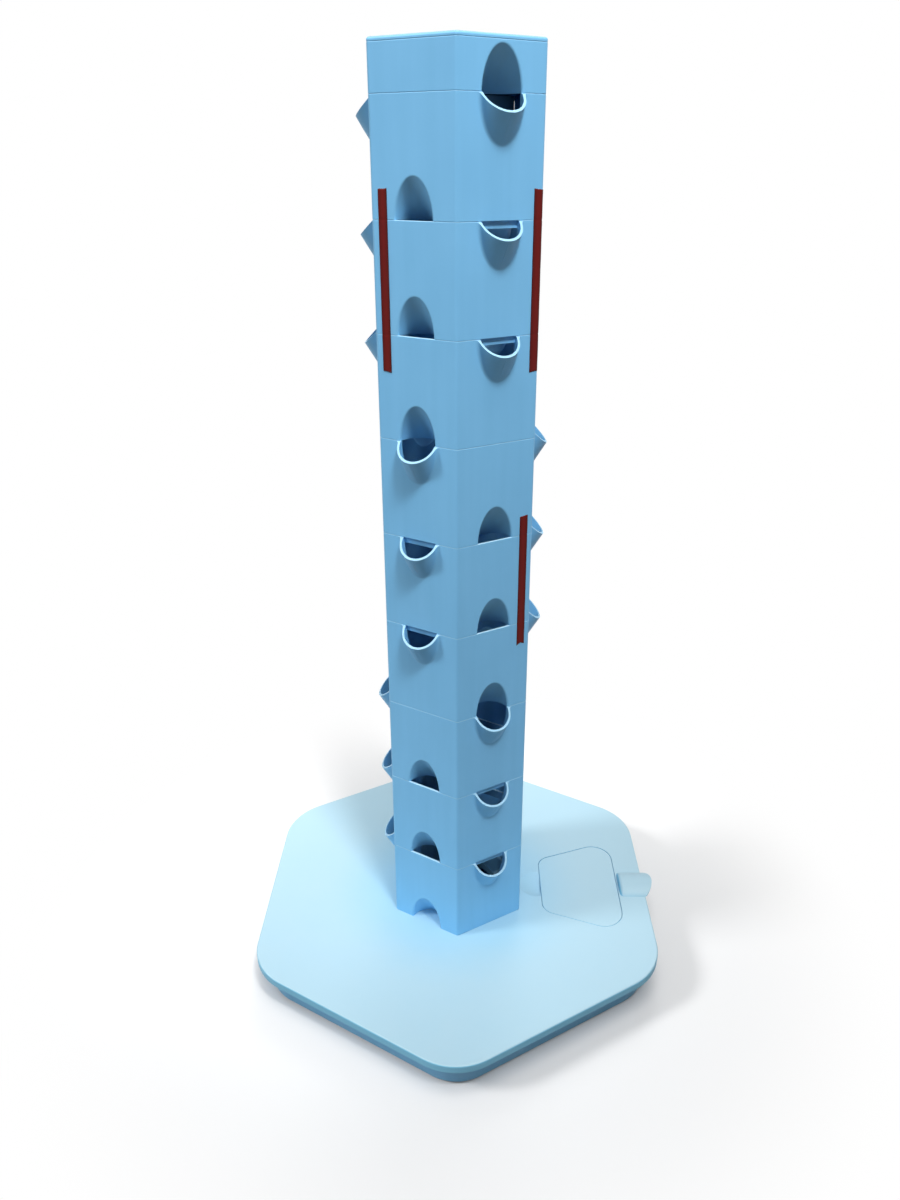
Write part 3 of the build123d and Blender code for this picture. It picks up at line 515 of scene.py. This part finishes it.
def makeFloor():
    # near the tower the floor is lit and shaded, further off it is plain white
    half = studio["floorSize"] / 2 / mm
    edge = np.array([-half, half])
    corners = np.stack([*np.meshgrid(edge, edge), np.zeros((2, 2))], axis=-1)
    floorMaterial, tree, place = newMaterial("paleStudioFloor")
    reach = addNode(tree, "ShaderNodeVectorMath", {0: place}, operation="LENGTH")
    away = addNode(tree, "ShaderNodeMapRange", {
        "Value": reach.outputs["Value"], "From Min": studio["whiteFrom"], "From Max": studio["whiteTo"]},
        interpolation_type="SMOOTHSTEP")
    lit = addNode(tree, "ShaderNodeBsdfDiffuse", {"Color": linear(studio["floorSeen"])})
    white = addNode(tree, "ShaderNodeEmission", {"Color": linear(studio["backdrop"]), "Strength": 1.0})
    seen = addNode(tree, "ShaderNodeMixShader", {0: away, 1: lit, 2: white})
    bounce = addNode(tree, "ShaderNodeBsdfDiffuse", {"Color": linear(studio["floorBounce"])})
    mixed = addNode(tree, "ShaderNodeMixShader", {0: seenRay(tree), 1: bounce, 2: seen})
    addNode(tree, "ShaderNodeOutputMaterial", {"Surface": mixed})
    gridMesh("studio_floor", [corners], floorMaterial)


def makeWorld():
    # brightest overhead, dimmer towards the horizon; white where it is seen
    world = bpy.data.worlds.new("studio")
    bpy.context.scene.world = world
    tree = emptyTree(world)
    direction = addNode(tree, "ShaderNodeTexCoord").outputs["Generated"]
    sky = addNode(tree, "ShaderNodeSeparateXYZ", {"Vector": direction})
    above = addNode(tree, "ShaderNodeMath", {0: sky.outputs["Z"], 1: 0.0}, operation="MAXIMUM")
    gathered = addNode(tree, "ShaderNodeMath", {0: above, 1: studio["overhead"]}, operation="POWER")
    level = addNode(tree, "ShaderNodeMapRange", {
        "Value": gathered, "To Min": studio["horizon"], "To Max": studio["zenith"]})
    strength = addNode(tree, "ShaderNodeMix", {0: seenRay(tree), 2: level, 3: 1.0}, data_type="FLOAT")
    light = addNode(tree, "ShaderNodeBackground", {
        "Color": linear(studio["backdrop"]), "Strength": strength})
    addNode(tree, "ShaderNodeOutputWorld", {"Surface": light})


def addLamp(name, kind, energy, place, towards, **settings):
    lamp = bpy.data.lights.new(name, kind)
    lamp.energy = energy
    for key, value in settings.items():
        setattr(lamp, key, value)
    holder = bpy.data.objects.new(name, lamp)
    holder.location = place
    holder.rotation_euler = (Vector(towards) - Vector(place)).to_track_quat("-Z", "Y").to_euler()
    holder.visible_camera = False
    bpy.context.scene.collection.objects.link(holder)


makeFloor()
makeWorld()
for name, lamp in lamps.items():
    side, rise = radians(lamp["side"]), radians(lamp["rise"])
    direction = Vector((sin(side) * cos(rise), -cos(side) * cos(rise), sin(rise)))
    addLamp(name, "SUN", lamp["energy"], studio["sunDistance"] * direction, (0, 0, 0),
            angle=radians(lamp["size"]))
for name, lamp in spots.items():
    addLamp(name, "SPOT", lamp["energy"], lamp["place"], lamp["target"],
            shadow_soft_size=lamp["size"], spot_size=radians(lamp["cone"]), spot_blend=lamp["blend"])
bpy.context.scene.view_settings.view_transform = "Standard"

# camera at the photograph's place, for a picture of 900 by 1200
view = {
    "place": (0.0126, -1.2021, 1.1613), "pitch": 23.611, "yaw": -0.06, "roll": 0.163,      # metres, degrees
    "focalPixels": 925.3, "longSide": 1200, "sensor": 36.0, "shift": (-0.0133, -0.0264), "clipEnd": 200.0,
}
lens = bpy.data.cameras.new("photo_camera")
lens.sensor_width = view["sensor"]
lens.lens = view["focalPixels"] / view["longSide"] * view["sensor"]
lens.shift_x, lens.shift_y = view["shift"]
lens.clip_end = view["clipEnd"]
camera = bpy.data.objects.new("photo_camera", lens)
camera.location = view["place"]
aim = Euler((radians(90 - view["pitch"]), 0, radians(-view["yaw"]))).to_matrix()
camera.rotation_euler = (aim @ Euler((0, 0, radians(view["roll"]))).to_matrix()).to_euler()
bpy.context.scene.collection.objects.link(camera)
bpy.context.scene.camera = camera
print("studio: floor, world, lamps and camera")
